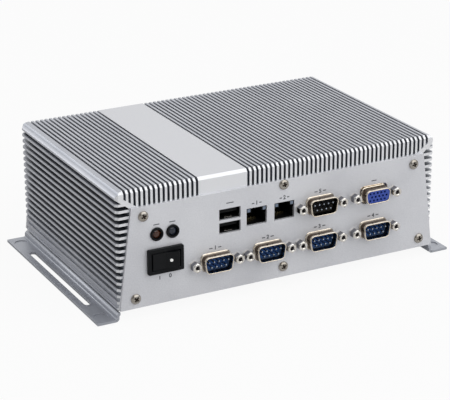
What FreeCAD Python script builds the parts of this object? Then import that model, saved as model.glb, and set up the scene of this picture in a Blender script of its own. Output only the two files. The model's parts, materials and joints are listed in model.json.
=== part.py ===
import FreeCAD, Part
import math
import os

# Fanless industrial computer: a finned aluminium extrusion closed by two tapered end panels and a
# folded bottom plate, standing on two slotted side brackets. All sizes are in millimetres.
# X runs along the front panel, Y from the front to the back and Z up. The origin is on the
# supporting surface, under the middle of the overall length and width.

# ---- body ----
bodyWidth = 191.0
bodyDepth = 128.0
bodyHeight = 64.2
coreHeight = 54.9
coreTopWidth = 175.6
coreBottomWidth = 190.2
sideWall = 3.0
roofWall = 4.0
cornerDrop = 3.3
cornerSetback = 2.1
shoulderDrop = 0.55
shoulderLand = 0.1
finEndChamfer = 1.5

# ---- fins ----
roofFinPitch = 2.7
roofGapWidth = 1.35
roofFirstGap = 5.05
bandCentreX = -35.1
bandWidth = 28.35
sideFinPitch = 3.545
sideGapWidth = 2.05
sideFirstGap = 5.4
sideLastFin = 1.8
webInset = 3.8
webSlope = 0.7
webThickness = 3.0

# ---- end panels and their screws ----
panelThickness = 1.5
screwRadius = 1.5
screwClearance = 0.05
panelScrewLength = 8.0
shankSides = 8
headSides = 16
screwHeadRadius = 2.75
screwHeadHeight = 1.6
topScrewInset = 7.2
topScrewDrop = 5.1
bottomScrewInset = 8.7
bottomScrewRise = 5.4
middleScrewDrop = 2.4
middleScrewRise = 6.0
screwPortRadius = 3.4
portBlockChamfer = 2.0

# ---- bottom plate ----
bottomThickness = 1.2
bottomEdgeInset = 0.4
lipHeight = 10.0
lipSideGap = 1.0

# ---- mounting brackets ----
bracketThickness = 1.4
bracketHeight = 4.9
bracketReach = 107.2
bracketRiserX = 96.4
bracketBendRadius = 0.6
bracketShelfSetback = 14.0
slotLength = 80.0
slotWidth = 3.6
slotCentreX = 101.85
seatRadius = 3.7
seatDepth = 0.4
seatSpacing = 112.0
bracketScrewSpacing = 76.0
bracketScrewGrip = 3.0

# ---- ports: shared by the panel, the shells and the boards ----
serialColumns = (-40.5, -9.4, 22.3, 56.0)
upperSerialColumn = 2
videoColumn = 3
lowerRowHeight = 17.2
upperRowHeight = 37.3
shellReach = 5.2
shellSheet = 0.5
plugInnerWidth = 16.92
plugInnerHeight = 8.36
socketOuterWidth = 16.33
socketOuterHeight = 7.9
shellSideAngle = 10.0
shellCornerRadius = 2.6
chordCount = 3
flangeWidth = 19.6
flangeHeight = 11.4
flangeThickness = 0.8
shellCutClearance = 0.4
jackSpacing = 24.99
jackAcrossFlats = 4.75
jackLength = 4.8
jackShankRadius = 1.45
insulatorRecess = 5.9
insulatorFit = 0.1
portBlockWidth = 19.2
portBlockDepth = 9.0
portEarWidth = 28.6
portEarDepth = 3.6
portAxisHeight = 7.0
pinRadius = 0.5
pinLength = 5.2
pinPitch = 2.77
pinRowSpacing = 2.84
contactPitch = 2.29
contactRowSpacing = 1.98
contactWidth = 1.1
contactDepth = 3.0

usbX = -31.9
usbOpeningWidth = 12.5
usbOpeningHeight = 5.12
usbLowerCentre = 4.3
usbStackPitch = 7.5
usbShellWidth = 13.1
usbShellHeight = 15.4
usbShellDepth = 17.0
usbCavityDepth = 16.6
usbTongueThickness = 1.84
usbTongueWidth = 11.1
usbTongueLength = 8.9
usbTongueRise = 0.9
usbCutMargin = 0.45
portFrontGap = 0.2

lanColumns = (-16.1, 0.5)
lanOpeningWidth = 12.0
lanOpeningHeight = 9.6
lanOpeningRise = 2.8
lanBodyWidth = 14.0
lanBodyHeight = 13.2
lanBodyDepth = 21.0
lanShieldSheet = 0.25
lanFrontGap = 1.0
lanPlugWidth = 11.8
lanPlugHeight = 7.2
lanPlugDepth = 12.5
lanLatchWidth = 6.4
lanLatchHeight = 2.2
lanContactCount = 8
lanContactPitch = 1.02
lanContactSize = 0.5
lanContactLength = 7.0
lanWindowSize = 1.7
lanNoseSetback = 0.2
lanWindowDepth = 3.0

# ---- power switch ----
rockerX = -69.6
rockerHeight = 24.2
bezelWidth = 20.0
bezelHeight = 13.6
bezelReach = 2.0
bezelCornerRadius = 0.6
rockerBodyWidth = 18.6
rockerBodyHeight = 12.2
rockerBodyDepth = 16.0
rockerCutClearance = 0.1
pivotDepth = 2.4
paddleRadius = 8.0
paddleTilt = 10.0
paddleCrown = 2.6
paddleWidth = 9.0
paddleFootWidth = 6.0
paddleFootDepth = 5.0
paddleSkirtAngle = 30.0
paddleClearance = 0.3
paddleWellDepth = 8.0
pivotPinRadius = 1.2
pivotPinLength = 0.9
pivotPinClearance = 0.05
terminalSpacing = 7.0
terminalWidth = 4.8
terminalThickness = 0.8
terminalLength = 7.0

# ---- indicator lights ----
ledHeight = 38.8
ledColumns = (-74.0, -65.0)
holderRadius = 3.6
holderReach = 1.2
holderBarrelRadius = 3.0
holderDepth = 7.0
holderHoleClearance = 0.1
ledRadius = 2.45
ledBoreClearance = 0.05
ledRecess = 0.7
ledTail = 1.5
barrelSides = 12
rimSides = 24

# ---- boards ----
boardThickness = 1.6
boardEndGap = 2.0
boardRailGap = 0.5
mainBoardNotchX = -57.0
mainBoardNotchDepth = 30.0
ioBoardLeft = -58.0
ioBoardRight = 76.0
ioBoardDepth = 50.0
standoffAcrossFlats = 5.5
standoffInset = 4.0
columnX = (-50.0, 70.0)
columnY = 30.0
boardScrewHeadHeight = 2.2
tapDepth = 5.0
studLength = 4.0
linkWidth = 40.0
linkThickness = 5.0
linkY = 46.0

# ---- parts on the boards ----
processorSize = 31.0
processorHeight = 2.0
processorX = 26.0
processorY = 68.0
padThickness = 0.5
heatBlockWidth = 40.0
heatBlockDepth = 52.0
heatBlockLegRadius = 3.0
seatClearance = 0.1
moduleThickness = 1.0
moduleRise = 3.0
moduleGrip = 3.0
edgeSocketDepth = 7.0
edgeSocketHeight = 5.2
memoryEdgeGap = 0.3
memoryY = 66.0
memoryWidth = 67.6
memoryLength = 30.0
memoryArmWidth = 2.4
storageEdgeGap = 2.0
storageY = 50.0
storageWidth = 30.0
storageLength = 51.0
storageArmWidth = 1.6
inductorSize = 8.0
inductorHeight = 4.5
inductorX = -48.0
inductorY = 112.0
inductorPitch = 11.0
inductorCount = 4
headerWidth = 8.0
headerDepth = 4.0
headerHeight = 3.2
switchHeaderY = 40.0
lightHeaderY = 52.0
leadThickness = 1.0
lightLeadWidth = 3.0
switchLeadRun = 5.0

# ---- power inlet ----
inletX = -66.0
inletWidth = 9.6
inletHeight = 11.2
inletDepth = 14.0
inletAxisRise = 6.4
inletNoseRadius = 4.4
inletBoreRadius = 3.2
inletBoreDepth = 9.5
inletPinRadius = 1.0
inletNoseClearance = 0.15
inletNoseReach = 1.0

# ---- levels and planes that several pieces share ----
chassisBottom = bracketHeight + bottomThickness
frontReach = max(shellReach, jackLength)
rearReach = max(screwHeadHeight, inletNoseReach)
overallDepth = frontReach + 2 * panelThickness + bodyDepth + rearReach
frontY = -overallDepth / 2 + frontReach + panelThickness
rearY = frontY + bodyDepth
middleY = (frontY + rearY) / 2
panelFrontY = frontY - panelThickness
ioBoardTop = chassisBottom + lowerRowHeight - portAxisHeight
mainBoardTop = chassisBottom + upperRowHeight - portAxisHeight
mainBoardBottom = mainBoardTop - boardThickness
roofUnderside = chassisBottom + coreHeight - roofWall
topScrewZ = coreHeight - topScrewDrop
topScrewX = coreTopWidth / 2 + (coreBottomWidth - coreTopWidth) / 2 * topScrewDrop / coreHeight - topScrewInset
bottomScrewX = coreBottomWidth / 2 - bottomScrewInset
railInnerX = bottomScrewX - screwPortRadius
bracketScrewX = bottomScrewX + 1.4
mainBoardWidth = 2 * (railInnerX - boardRailGap)
memoryX = -mainBoardWidth / 2 + memoryEdgeGap + memoryArmWidth + memoryWidth / 2
storageX = mainBoardWidth / 2 - storageEdgeGap - storageWidth / 2
boardFrontY = frontY + boardEndGap
boardRearY = rearY - boardEndGap
columnPlaces = [(x, frontY + columnY) for x in columnX]
rearStandoffPlaces = [(side * (mainBoardWidth / 2 - standoffInset), boardRearY - standoffInset) for side in (-1, 1)]
socketInnerWidth = socketOuterWidth - 2 * shellSheet
socketInnerHeight = socketOuterHeight - 2 * shellSheet
bezelFrontY = panelFrontY - bezelReach
pivotY = bezelFrontY + pivotDepth

os.makedirs("parts", exist_ok=True)
frontward = FreeCAD.Vector(0, -1, 0)
backward = FreeCAD.Vector(0, 1, 0)
upward = FreeCAD.Vector(0, 0, 1)


def point(x, y, z):
    return FreeCAD.Vector(x, y, z)


def save(name, shape):
    shape.exportStep("parts/" + name + ".step")


def box(xLow, xHigh, yLow, yHigh, zLow, zHigh):
    return Part.makeBox(xHigh - xLow, yHigh - yLow, zHigh - zLow, point(xLow, yLow, zLow))


def rod(radius, length, start, direction):
    return Part.makeCylinder(radius, length, start, direction)


def joined(shapes):
    return shapes[0].fuse(shapes[1:]).removeSplitter()


def group(solids):
    return Part.makeCompound(solids)


# A closed outline through the corners, each rounded by its own radius (0 leaves it sharp).
def roundedOutline(corners, radius):
    count = len(corners)
    radii = radius if isinstance(radius, list) else [radius] * count
    arrivals = []
    middles = []
    departures = []
    for index, corner in enumerate(corners):
        toBefore = (corners[index - 1] - corner).normalize()
        toAfter = (corners[(index + 1) % count] - corner).normalize()
        halfAngle = toBefore.getAngle(toAfter) / 2
        bisector = (toBefore + toAfter).normalize()
        tangent = radii[index] / math.tan(halfAngle)
        arrivals.append(corner + toBefore * tangent)
        departures.append(corner + toAfter * tangent)
        middles.append(corner + bisector * (radii[index] / math.sin(halfAngle) - radii[index]))
    edges = []
    for index in range(count):
        following = (index + 1) % count
        if radii[index] > 0:
            edges.append(Part.Arc(arrivals[index], middles[index], departures[index]).toShape())
        if (arrivals[following] - departures[index]).Length > 1e-6:
            edges.append(Part.LineSegment(departures[index], arrivals[following]).toShape())
    return Part.Wire(edges)


def extruded(corners, radius, direction):
    return Part.Face(roundedOutline(corners, radius)).extrude(direction)


# A plate or hole whose outline lies in the XZ plane and whose thickness runs along Y.
def uprightPrism(corners, radius, yLow, yHigh):
    placed = [point(x, yLow, z) for x, z in corners]
    return extruded(placed, radius, backward * (yHigh - yLow))


def rectangle(centreX, centreZ, width, height):
    left = centreX - width / 2
    right = centreX + width / 2
    low = centreZ - height / 2
    high = centreZ + height / 2
    return [(left, low), (right, low), (right, high), (left, high)]


# A rod of regular polygon section. Small repeated rods have few sides, which keeps the model light.
def facetedRod(sides, radius, length, start, direction):
    side = direction.cross(upward)
    if side.Length < 0.5:
        side = point(1, 0, 0)
    side.normalize()
    rise = side.cross(direction)
    corners = []
    for step in range(sides):
        angle = 2 * math.pi * (step + 0.5) / sides
        corners.append(start + (side * math.cos(angle) + rise * math.sin(angle)) * radius)
    return Part.Face(Part.makePolygon(corners + corners[:1])).extrude(direction * length)


def hexagon(acrossFlats, length, start, direction):
    return facetedRod(6, acrossFlats / math.sqrt(3), length, start, direction)


# The clearance hole or thread that a screw's shank runs in.
def screwHole(length, start, direction):
    return facetedRod(shankSides, screwRadius + screwClearance, length, start, direction)


# A round-ended slot that runs along Y.
def slotPrism(x, y, width, length, zLow, zHigh):
    radius = width / 2
    near = y - length / 2 + radius
    far = y + length / 2 - radius
    edges = [Part.Arc(point(x + radius, far, zLow), point(x, far + radius, zLow), point(x - radius, far, zLow)).toShape(),
             Part.LineSegment(point(x - radius, far, zLow), point(x - radius, near, zLow)).toShape(),
             Part.Arc(point(x - radius, near, zLow), point(x, near - radius, zLow), point(x + radius, near, zLow)).toShape(),
             Part.LineSegment(point(x + radius, near, zLow), point(x + radius, far, zLow)).toShape()]
    return Part.Face(Part.Wire(edges)).extrude(upward * (zHigh - zLow))


# Pan head screw: the head's seat is at the given point and the shank runs along the direction.
def panScrew(seat, direction, length):
    head = facetedRod(headSides, screwHeadRadius, screwHeadHeight, seat, direction * -1)
    shank = facetedRod(shankSides, screwRadius, length, seat, direction)
    return joined([head, shank])


# ---- chassis ----
# Half width of the core's sloping outer wall at a height above the chassis underside.
def wallX(height):
    return coreBottomWidth / 2 + (coreTopWidth - coreBottomWidth) / 2 * height / coreHeight


# The corner web is a slanting rib from the core's top corner out to the chamfered corner fin.
def webTop(x):
    return coreHeight + webSlope * (abs(x) - coreTopWidth / 2 + webInset)


def roofGapFloor(x):
    return max(coreHeight, webTop(x))


def sideGapFloor(height):
    underWeb = coreTopWidth / 2 - webInset + (height - coreHeight + webThickness) / webSlope
    return max(wallX(height), underWeb)


def roofGapCentres():
    outermost = bodyWidth / 2 - roofFirstGap
    leftRoom = bandCentreX - bandWidth / 2 - roofGapWidth / 2 + outermost
    rightRoom = outermost - bandCentreX - bandWidth / 2 - roofGapWidth / 2
    leftCount = int(leftRoom / roofFinPitch + 1e-6) + 1
    rightCount = int(rightRoom / roofFinPitch + 1e-6) + 1
    left = [-outermost + roofFinPitch * step for step in range(leftCount)]
    right = [outermost - roofFinPitch * step for step in range(rightCount)]
    return left + right[::-1]


def sideGapCentres():
    room = bodyHeight - sideFirstGap - sideLastFin
    count = int(room / sideFinPitch) + 1
    return [bodyHeight - sideFirstGap - sideFinPitch * step for step in range(count)]


# Outer section: up the right side, over the roof to the left, and down the left side.
def sectionCorners():
    tip = bodyWidth / 2
    rightSide = [(tip, 0)]
    for centre in sideGapCentres()[::-1]:
        low = centre - sideGapWidth / 2
        high = centre + sideGapWidth / 2
        rightSide += [(tip, low), (sideGapFloor(low), low), (sideGapFloor(high), high), (tip, high)]
    shoulderEnd = tip - roofFirstGap + roofGapWidth / 2 + shoulderLand
    rightSide += [(tip, bodyHeight - cornerDrop), (tip - cornerSetback, bodyHeight - shoulderDrop), (shoulderEnd, bodyHeight)]
    roof = []
    for centre in roofGapCentres()[::-1]:
        right = centre + roofGapWidth / 2
        left = centre - roofGapWidth / 2
        roof += [(right, bodyHeight), (right, roofGapFloor(right)), (left, roofGapFloor(left)), (left, bodyHeight)]
    leftSide = [(-x, height) for x, height in rightSide[::-1]]
    return rightSide + roof + leftSide


# The blocks that carry the lengthwise screw ports in the two inner corners of one side.
def cornerBlocks(side):
    low = chassisBottom
    roofMiddle = low + coreHeight - roofWall / 2
    topLow = low + topScrewZ - screwPortRadius
    topInner = topScrewX - screwPortRadius
    topOuter = wallX(topScrewZ) - sideWall / 2
    topCorners = [(topInner, roofMiddle), (topInner, topLow + portBlockChamfer), (topInner + portBlockChamfer, topLow),
                  (topOuter, topLow), (topOuter - sideWall / 4, roofMiddle)]
    railTop = low + bottomScrewRise + screwPortRadius
    railCorners = [(railInnerX, low), (wallX(0) - sideWall / 2, low), (wallX(bottomScrewRise) - sideWall / 2, railTop),
                   (railInnerX + portBlockChamfer, railTop), (railInnerX, railTop - portBlockChamfer)]
    return [uprightPrism([(side * x, z) for x, z in corners], 0, frontY, rearY) for corners in (topCorners, railCorners)]


def screwPortCentres():
    low = chassisBottom
    return [(topScrewX, low + topScrewZ), (-topScrewX, low + topScrewZ),
            (bottomScrewX, low + bottomScrewRise), (-bottomScrewX, low + bottomScrewRise),
            (0, low + coreHeight - middleScrewDrop)]


# A box over the fin tips with its front and back edges chamfered, which trims every fin end.
def finEnvelope():
    low = chassisBottom - 1
    high = chassisBottom + bodyHeight
    half = bodyWidth / 2
    envelope = box(-half, half, frontY, rearY, low, high)
    edges = []
    for edge in envelope.Edges:
        bounds = edge.BoundBox
        atEnd = bounds.YLength < 1e-6
        upright = bounds.ZLength > 1 and bounds.XLength < 1e-6
        topEdge = bounds.ZMin > high - 1e-6
        if atEnd and (upright or topEdge):
            edges.append(edge)
    return envelope.makeChamfer(finEndChamfer, edges)


def bracketScrewPlaces():
    places = []
    for side in (-1, 1):
        for step in (-0.5, 0.5):
            places.append((side * bracketScrewX, middleY + step * bracketScrewSpacing))
    return places


def makeChassis():
    outline = [(x, chassisBottom + height) for x, height in sectionCorners()]
    placed = [point(x, frontY, z) for x, z in outline]
    section = Part.Face(Part.makePolygon(placed + placed[:1]))
    body = section.extrude(backward * bodyDepth)
    inner = wallX(0) - sideWall
    innerTop = wallX(coreHeight - roofWall) - sideWall
    cavity = uprightPrism(
        [(-inner, chassisBottom - 1), (inner, chassisBottom - 1), (innerTop, roofUnderside), (-innerTop, roofUnderside)],
        0, frontY - 1, rearY + 1)
    body = body.cut(cavity)
    blocks = cornerBlocks(-1) + cornerBlocks(1)
    middleBoss = uprightPrism(rectangle(0, roofUnderside, 2 * screwPortRadius, roofWall), 0, frontY, rearY)
    body = body.fuse(blocks + [middleBoss]).removeSplitter()
    body = body.common(finEnvelope())
    bores = []
    for x, z in screwPortCentres():
        bores.append(screwHole(bodyDepth + 2, point(x, frontY - 1, z), backward))
    for x, y in bracketScrewPlaces():
        start = point(x, y, chassisBottom - 1)
        bores.append(screwHole(bracketScrewGrip + 1.3, start, upward))
    return body.cut(bores)


save("chassis", makeChassis())


# ---- end panels ----
def panelBlank(yLow, yHigh):
    low = chassisBottom
    high = chassisBottom + coreHeight
    corners = [(-coreBottomWidth / 2, low), (coreBottomWidth / 2, low), (coreTopWidth / 2, high), (-coreTopWidth / 2, high)]
    return uprightPrism(corners, 0, yLow, yHigh)


def panelScrewCentres():
    return screwPortCentres() + [(0, chassisBottom + middleScrewRise)]


# Corners of a D outline about a centre, wide side up.
def dCorners(centreX, centreZ, width, height):
    half = width / 2
    taper = height * math.tan(math.radians(shellSideAngle))
    low = centreZ - height / 2
    high = centreZ + height / 2
    return [(centreX - half + taper, low), (centreX + half - taper, low), (centreX + half, high), (centreX - half, high)]


# The same D with each corner rounded by a few equal chords of an arc.
def chordCorners(corners, radius):
    result = []
    for index, (x, z) in enumerate(corners):
        corner = point(x, 0, z)
        toBefore = (point(corners[index - 1][0], 0, corners[index - 1][1]) - corner).normalize()
        following = corners[(index + 1) % len(corners)]
        toAfter = (point(following[0], 0, following[1]) - corner).normalize()
        halfAngle = toBefore.getAngle(toAfter) / 2
        inward = (toBefore + toAfter).normalize()
        across = (toAfter - toBefore).normalize()
        centre = corner + inward * (radius / math.sin(halfAngle))
        sweep = math.pi / 2 - halfAngle
        for step in range(chordCount + 1):
            angle = sweep * (2 * step / chordCount - 1)
            place = centre - inward * (radius * math.cos(angle)) + across * (radius * math.sin(angle))
            result.append((place.x, place.z))
    return result


def serialPlaces():
    low = chassisBottom + lowerRowHeight
    places = [(x, low, ioBoardTop) for x in serialColumns]
    places.append((serialColumns[upperSerialColumn], chassisBottom + upperRowHeight, mainBoardTop))
    return places


videoPlace = (serialColumns[videoColumn], chassisBottom + upperRowHeight, mainBoardTop)


def usbCentres():
    lower = mainBoardTop + usbLowerCentre
    return [lower, lower + usbStackPitch]


lanOpeningCentre = mainBoardTop + lanOpeningRise + lanOpeningHeight / 2


def makeFrontPanel():
    through = (panelFrontY - 1, frontY + 1)
    holes = []
    for x, z, _ in serialPlaces() + [videoPlace]:
        width = plugInnerWidth + 2 * shellSheet + 2 * shellCutClearance
        height = plugInnerHeight + 2 * shellSheet + 2 * shellCutClearance
        holes.append(uprightPrism(chordCorners(dCorners(x, z, width, height), shellCornerRadius), 0, *through))
        for side in (-0.5, 0.5):
            start = point(x + side * jackSpacing, through[0], z)
            holes.append(facetedRod(shankSides, jackShankRadius + screwClearance, panelThickness + 2, start, backward))
    for z in usbCentres():
        width = usbOpeningWidth
        height = usbOpeningHeight + 2 * usbCutMargin
        holes.append(uprightPrism(rectangle(usbX, z, width, height), 0, *through))
    for x in lanColumns:
        opening = rectangle(x, lanOpeningCentre, lanOpeningWidth, lanOpeningHeight)
        holes.append(uprightPrism(opening, 0, *through))
    rockerCut = rectangle(rockerX, chassisBottom + rockerHeight, rockerBodyWidth + 2 * rockerCutClearance,
                          rockerBodyHeight + 2 * rockerCutClearance)
    holes.append(uprightPrism(rockerCut, 0, *through))
    for x in ledColumns:
        start = point(x, through[0], chassisBottom + ledHeight)
        holes.append(facetedRod(barrelSides, holderBarrelRadius + holderHoleClearance, panelThickness + 2, start, backward))
    for x, z in panelScrewCentres():
        holes.append(screwHole(panelThickness + 2, point(x, through[0], z), backward))
    return panelBlank(panelFrontY, frontY).cut(holes)


def makeRearPanel():
    holes = []
    for x, z in panelScrewCentres():
        holes.append(screwHole(panelThickness + 2, point(x, rearY - 1, z), backward))
    inletStart = point(inletX, rearY - 1, mainBoardTop + inletAxisRise)
    holes.append(rod(inletNoseRadius + inletNoseClearance, panelThickness + 2, inletStart, backward))
    return panelBlank(rearY, rearY + panelThickness).cut(holes)


def makePanelScrews(seatY, direction):
    return group([panScrew(point(x, seatY, z), direction, panelScrewLength) for x, z in panelScrewCentres()])


save("front_panel", makeFrontPanel())
save("rear_panel", makeRearPanel())
save("front_panel_screws", makePanelScrews(panelFrontY, backward))
save("rear_panel_screws", makePanelScrews(rearY + panelThickness, frontward))


# ---- bottom plate: a folded sheet with an upright lip behind each panel ----
def makeBottomPlate():
    top = chassisBottom
    under = chassisBottom - bottomThickness
    lipTop = chassisBottom + lipHeight
    lipHalf = railInnerX - lipSideGap
    outer = [point(-lipHalf, frontY, lipTop), point(-lipHalf, frontY, under),
             point(-lipHalf, rearY, under), point(-lipHalf, rearY, lipTop),
             point(-lipHalf, rearY - bottomThickness, lipTop), point(-lipHalf, rearY - bottomThickness, top),
             point(-lipHalf, frontY + bottomThickness, top), point(-lipHalf, frontY + bottomThickness, lipTop)]
    radii = [0, bottomThickness + 0.4, bottomThickness + 0.4, 0, 0, 0.4, 0.4, 0]
    folded = extruded(outer, radii, point(2 * lipHalf, 0, 0))
    half = wallX(0) - bottomEdgeInset
    wings = box(-half, half, frontY + 2 * bottomThickness, rearY - 2 * bottomThickness, under, top)
    holes = [screwHole(bodyDepth + 2, point(0, frontY - 1, chassisBottom + middleScrewRise), backward)]
    for x, y in bracketScrewPlaces():
        holes.append(screwHole(bottomThickness + 2, point(x, y, under - 1), upward))
    return joined([folded, wings]).cut(holes)


save("bottom_plate", makeBottomPlate())


# ---- brackets: one folded strip each, with a shelf under the body, a riser and a slotted foot ----
def makeBracket(side):
    shelfTop = bracketHeight
    shelfUnder = bracketHeight - bracketThickness
    riserInner = bracketRiserX - bracketThickness
    corners = [(railInnerX, shelfTop), (bracketRiserX, shelfTop), (bracketRiserX, bracketThickness),
               (bracketReach, bracketThickness), (bracketReach, 0), (riserInner, 0),
               (riserInner, shelfUnder), (railInnerX, shelfUnder)]
    outerBend = bracketBendRadius + bracketThickness
    radii = [0, outerBend, bracketBendRadius, 0, 0, outerBend, bracketBendRadius, 0]
    strip = uprightPrism([(side * x, z) for x, z in corners], radii, frontY, rearY)
    cuts = []
    shelfCutX = riserInner - bracketBendRadius
    for yLow, yHigh in ((frontY - 1, frontY + bracketShelfSetback), (rearY - bracketShelfSetback, rearY + 1)):
        ends = sorted((side * (railInnerX - 1), side * shelfCutX))
        cuts.append(box(ends[0], ends[1], yLow, yHigh, shelfUnder - 1, shelfTop + 1))
    cuts.append(slotPrism(side * slotCentreX, middleY, slotWidth, slotLength, -1, bracketThickness + 1))
    for end in (-0.5, 0.5):
        seat = point(side * slotCentreX, middleY + end * seatSpacing, bracketThickness - seatDepth)
        cuts.append(facetedRod(headSides, seatRadius, seatDepth + 1, seat, upward))
    for x, y in bracketScrewPlaces():
        cuts.append(screwHole(bracketThickness + 2, point(x, y, shelfUnder - 1), upward))
    return strip.cut(cuts)


save("left_bracket", makeBracket(-1))
save("right_bracket", makeBracket(1))

bracketScrewLength = bracketThickness + bottomThickness + bracketScrewGrip
bracketScrewSeat = bracketHeight - bracketThickness
save("bracket_screws", group([panScrew(point(x, y, bracketScrewSeat), upward, bracketScrewLength)
                              for x, y in bracketScrewPlaces()]))


# ---- D-shell ports ----
# The drawn steel shell: a flange behind the panel and a D-shaped sleeve out through it.
def makeShell(centreX, centreZ, innerWidth, innerHeight):
    sleeveFront = panelFrontY - shellReach
    flangeBack = frontY + flangeThickness
    outerWidth = innerWidth + 2 * shellSheet
    outerHeight = innerHeight + 2 * shellSheet
    sleeve = uprightPrism(dCorners(centreX, centreZ, outerWidth, outerHeight), shellCornerRadius, sleeveFront, flangeBack)
    flange = uprightPrism(rectangle(centreX, centreZ, flangeWidth, flangeHeight), 0, frontY, flangeBack)
    insideCorners = chordCorners(dCorners(centreX, centreZ, innerWidth, innerHeight), shellCornerRadius - shellSheet)
    inside = uprightPrism(insideCorners, 0, sleeveFront - 1, flangeBack + 1)
    return joined([sleeve, flange]).cut(inside)


# The moulded insulator: a D-shaped nose inside the shell and a block that stands on the board.
def makeInsulator(centreX, centreZ, boardTop, innerWidth, innerHeight, recess):
    noseFront = panelFrontY - shellReach + recess
    flangeBack = frontY + flangeThickness
    noseCorners = dCorners(centreX, centreZ, innerWidth - 2 * insulatorFit, innerHeight - 2 * insulatorFit)
    noseRadius = shellCornerRadius - shellSheet - insulatorFit
    nose = uprightPrism(chordCorners(noseCorners, noseRadius), 0, noseFront, flangeBack)
    blockTop = centreZ + flangeHeight / 2
    block = box(centreX - portBlockWidth / 2, centreX + portBlockWidth / 2, flangeBack,
                flangeBack + portBlockDepth, boardTop, blockTop)
    ears = box(centreX - portEarWidth / 2, centreX + portEarWidth / 2, flangeBack,
               flangeBack + portEarDepth, boardTop, blockTop)
    return joined([nose, block, ears])


# Nine pins in two rows, the longer row above, standing on the insulator's face.
def serialPins(centreX, centreZ):
    pins = []
    faceY = panelFrontY - shellReach + insulatorRecess
    for row, count in ((0.5, 5), (-0.5, 4)):
        for index in range(count):
            x = centreX + (index - (count - 1) / 2) * pinPitch
            start = point(x, faceY, centreZ + row * pinRowSpacing)
            pins.append(hexagon(pinRadius * 2, pinLength, start, frontward))
    return pins


allPins = []
for index, (x, z, boardTop) in enumerate(serialPlaces()):
    save("serial_shell_%d" % (index + 1), makeShell(x, z, plugInnerWidth, plugInnerHeight))
    insulator = makeInsulator(x, z, boardTop, plugInnerWidth, plugInnerHeight, insulatorRecess)
    save("serial_insulator_%d" % (index + 1), insulator)
    allPins += serialPins(x, z)
save("serial_pins", group(allPins))


# The video socket's insulator fills its shell and has three rows of five contact entries.
def makeVideoInsulator():
    x, z, boardTop = videoPlace
    recess = 0.3
    insulator = makeInsulator(x, z, boardTop, socketInnerWidth, socketInnerHeight, recess)
    entries = []
    for row in (-1, 0, 1):
        for column in range(5):
            offset = contactPitch / 4 if row == 0 else -contactPitch / 4
            start = point(x + (column - 2) * contactPitch + offset, panelFrontY - shellReach + recess - 1,
                          z + row * contactRowSpacing)
            entries.append(facetedRod(4, contactWidth / math.sqrt(2), contactDepth + 1, start, backward))
    return insulator.cut(entries)


save("video_shell", makeShell(videoPlace[0], videoPlace[1], socketInnerWidth, socketInnerHeight))
save("video_insulator", makeVideoInsulator())


def makeJackscrews():
    screws = []
    shankLength = panelThickness + flangeThickness
    for x, z, _ in serialPlaces() + [videoPlace]:
        for side in (-0.5, 0.5):
            seat = point(x + side * jackSpacing, panelFrontY, z)
            head = hexagon(jackAcrossFlats, jackLength, seat, frontward)
            shank = facetedRod(shankSides, jackShankRadius, shankLength, seat, backward)
            screws.append(joined([head, shank]))
    return group(screws)


save("port_jackscrews", makeJackscrews())


# ---- stacked usb sockets ----
def makeUsb():
    front = frontY + portFrontGap
    shell = box(usbX - usbShellWidth / 2, usbX + usbShellWidth / 2, front, front + usbShellDepth,
                mainBoardTop, mainBoardTop + usbShellHeight)
    cavities = []
    tongues = []
    for z in usbCentres():
        cavity = uprightPrism(rectangle(usbX, z, usbOpeningWidth, usbOpeningHeight), 0, front - 1, front + usbCavityDepth)
        cavities.append(cavity)
        tongue = uprightPrism(rectangle(usbX, z + usbTongueRise, usbTongueWidth, usbTongueThickness), 0,
                              front + 1.0, front + 1.0 + usbTongueLength)
        root = uprightPrism(rectangle(usbX, z, usbOpeningWidth, usbOpeningHeight), 0,
                            front + 1.0 + usbTongueLength, front + usbCavityDepth)
        tongues.append(joined([tongue, root]))
    return shell.cut(cavities), group(tongues)


usbShell, usbTongues = makeUsb()
save("usb_shell", usbShell)
save("usb_tongues", usbTongues)


# ---- network jacks ----
# The plug cavity: the plug's own width below, the latch groove above, and on each side of the groove a
# nose that reaches out through the panel with a light window in it.
def makeLanJack(centreX):
    front = frontY + lanFrontGap
    half = lanBodyWidth / 2
    body = box(centreX - half, centreX + half, front, front + lanBodyDepth, mainBoardTop, mainBoardTop + lanBodyHeight)
    openingLow = mainBoardTop + lanOpeningRise
    plugTop = openingLow + lanPlugHeight
    plug = box(centreX - lanPlugWidth / 2, centreX + lanPlugWidth / 2, front - 1, front + lanPlugDepth, openingLow, plugTop)
    latch = box(centreX - lanLatchWidth / 2, centreX + lanLatchWidth / 2, front - 1, front + lanPlugDepth,
                plugTop, plugTop + lanLatchHeight)
    windowX = (lanPlugWidth + lanLatchWidth) / 4
    noseFront = panelFrontY + lanNoseSetback
    noseWidth = (lanPlugWidth - lanLatchWidth) / 2
    noseMiddle = plugTop + lanLatchHeight / 2
    noses = []
    windows = []
    for side in (-1, 1):
        centre = centreX + side * windowX
        noses.append(uprightPrism(rectangle(centre, noseMiddle, noseWidth, lanLatchHeight), 0, noseFront, front + 1))
        windows.append(uprightPrism(rectangle(centre, noseMiddle, lanWindowSize, lanWindowSize), 0,
                                    noseFront, noseFront + lanWindowDepth))
    contacts = []
    for index in range(lanContactCount):
        x = centreX + (index - (lanContactCount - 1) / 2) * lanContactPitch
        yHigh = front + lanPlugDepth
        contacts.append(box(x - lanContactSize / 2, x + lanContactSize / 2, yHigh - lanContactLength, yHigh,
                            openingLow, openingLow + lanContactSize * 2))
    housing = joined([body] + noses).cut([plug, latch] + windows)
    return housing, windows, contacts


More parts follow.
